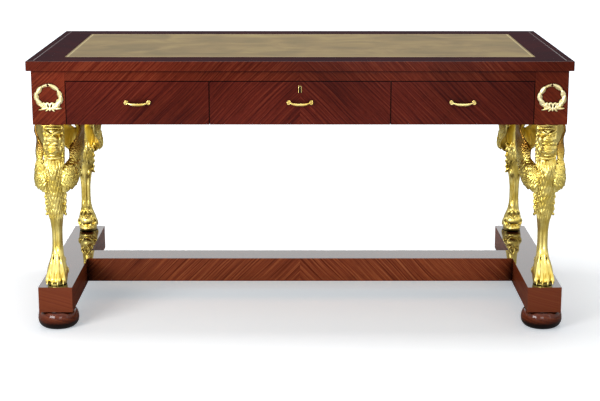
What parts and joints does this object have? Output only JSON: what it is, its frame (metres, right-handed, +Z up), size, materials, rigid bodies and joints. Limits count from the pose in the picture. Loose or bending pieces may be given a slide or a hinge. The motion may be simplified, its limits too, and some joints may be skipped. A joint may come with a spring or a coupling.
{
  "type": "bureau plat writing desk",
  "caption": "Rectangular writing desk with a leather inset top and frieze drawers, on winged lion legs and an H-shaped base with bun feet.",
  "frame": {"origin": "on the floor, under the middle of the desk", "axes": "+X to the right for a person facing the drawer fronts, +Y from the front to the back, +Z up"},
  "size_m": [1.6262, 0.808, 0.82],
  "materials": {
    "mahogany": "polished ribbon-stripe mahogany",
    "plain_oak": "planed, unpolished",
    "leather": "satin, with a thin pale tooled line",
    "gilt_bronze": "polished gilding",
    "polished_brass": "polished",
    "steel": "plain threaded rod"
  },
  "bodies": {
    "frame": {"top_board": "mahogany", "top_edge_bands": "mahogany", "leather_inset": "leather", "corner_block_fl": "mahogany", "corner_block_fr": "mahogany", "corner_block_bl": "mahogany", "corner_block_br": "mahogany", "front_top_rail": "mahogany", "front_bottom_rail": "plain_oak", "back_panel": "mahogany", "side_panel_left": "mahogany", "side_panel_right": "mahogany", "drawer_partition_left": "plain_oak", "drawer_partition_right": "plain_oak", "drawer_bearers": "plain_oak", "drawer_guides": "plain_oak", "drawer_kickers": "plain_oak", "wreath_fl": "gilt_bronze", "wreath_fr": "gilt_bronze", "wreath_bl": "gilt_bronze", "wreath_br": "gilt_bronze", "leg_fl": "gilt_bronze", "leg_fr": "gilt_bronze", "leg_bl": "gilt_bronze", "leg_br": "gilt_bronze", "wings_fl": "gilt_bronze", "wings_fr": "gilt_bronze", "wings_bl": "gilt_bronze", "wings_br": "gilt_bronze", "leg_studs": "steel", "base_beam_left": "mahogany", "base_beam_right": "mahogany", "base_cross_beam": "mahogany", "cross_beam_dowels": "plain_oak", "bun_foot_fl": "mahogany", "bun_foot_fr": "mahogany", "bun_foot_bl": "mahogany", "bun_foot_br": "mahogany", "foot_dowels": "plain_oak"},
    "drawer_left": {"drawer_front_left": "mahogany", "drawer_box_left": "plain_oak", "drawer_bottom_left": "plain_oak", "handle_posts_left": "polished_brass", "handle_nuts_left": "polished_brass"},
    "bail_left": {"handle_bail_left": "polished_brass"},
    "drawer_centre": {"drawer_front_centre": "mahogany", "drawer_box_centre": "plain_oak", "drawer_bottom_centre": "plain_oak", "handle_posts_centre": "polished_brass", "handle_nuts_centre": "polished_brass", "lock_case": "polished_brass", "keyhole_plate": "polished_brass"},
    "bail_centre": {"handle_bail_centre": "polished_brass"},
    "drawer_right": {"drawer_front_right": "mahogany", "drawer_box_right": "plain_oak", "drawer_bottom_right": "plain_oak", "handle_posts_right": "polished_brass", "handle_nuts_right": "polished_brass"},
    "bail_right": {"handle_bail_right": "polished_brass"},
    "bolt": {"lock_bolt": "polished_brass"}
  },
  "joints": [
    {"name": "drawer_left_slide", "type": "slide", "parent": "frame", "child": "drawer_left", "axis": [0, -1, 0], "range_m": [0, 0.4]},
    {"name": "bail_left_hinge", "type": "hinge", "parent": "drawer_left", "child": "bail_left", "pos_m": [-0.4772, -0.3995, 0.6974], "axis": [-1, 0, 0], "range_deg": [0, 85]},
    {"name": "drawer_centre_slide", "type": "slide", "parent": "frame", "child": "drawer_centre", "axis": [0, -1, 0], "range_m": [0, 0.4]},
    {"name": "bail_centre_hinge", "type": "hinge", "parent": "drawer_centre", "child": "bail_centre", "pos_m": [0, -0.3995, 0.6974], "axis": [-1, 0, 0], "range_deg": [0, 85]},
    {"name": "drawer_right_slide", "type": "slide", "parent": "frame", "child": "drawer_right", "axis": [0, -1, 0], "range_m": [0, 0.4]},
    {"name": "bail_right_hinge", "type": "hinge", "parent": "drawer_right", "child": "bail_right", "pos_m": [0.4772, -0.3995, 0.6974], "axis": [-1, 0, 0], "range_deg": [0, 85]},
    {"name": "lock_bolt_slide", "type": "slide", "parent": "drawer_centre", "child": "bolt", "axis": [0, 0, 1], "range_m": [0, 0.008]}
  ]
}
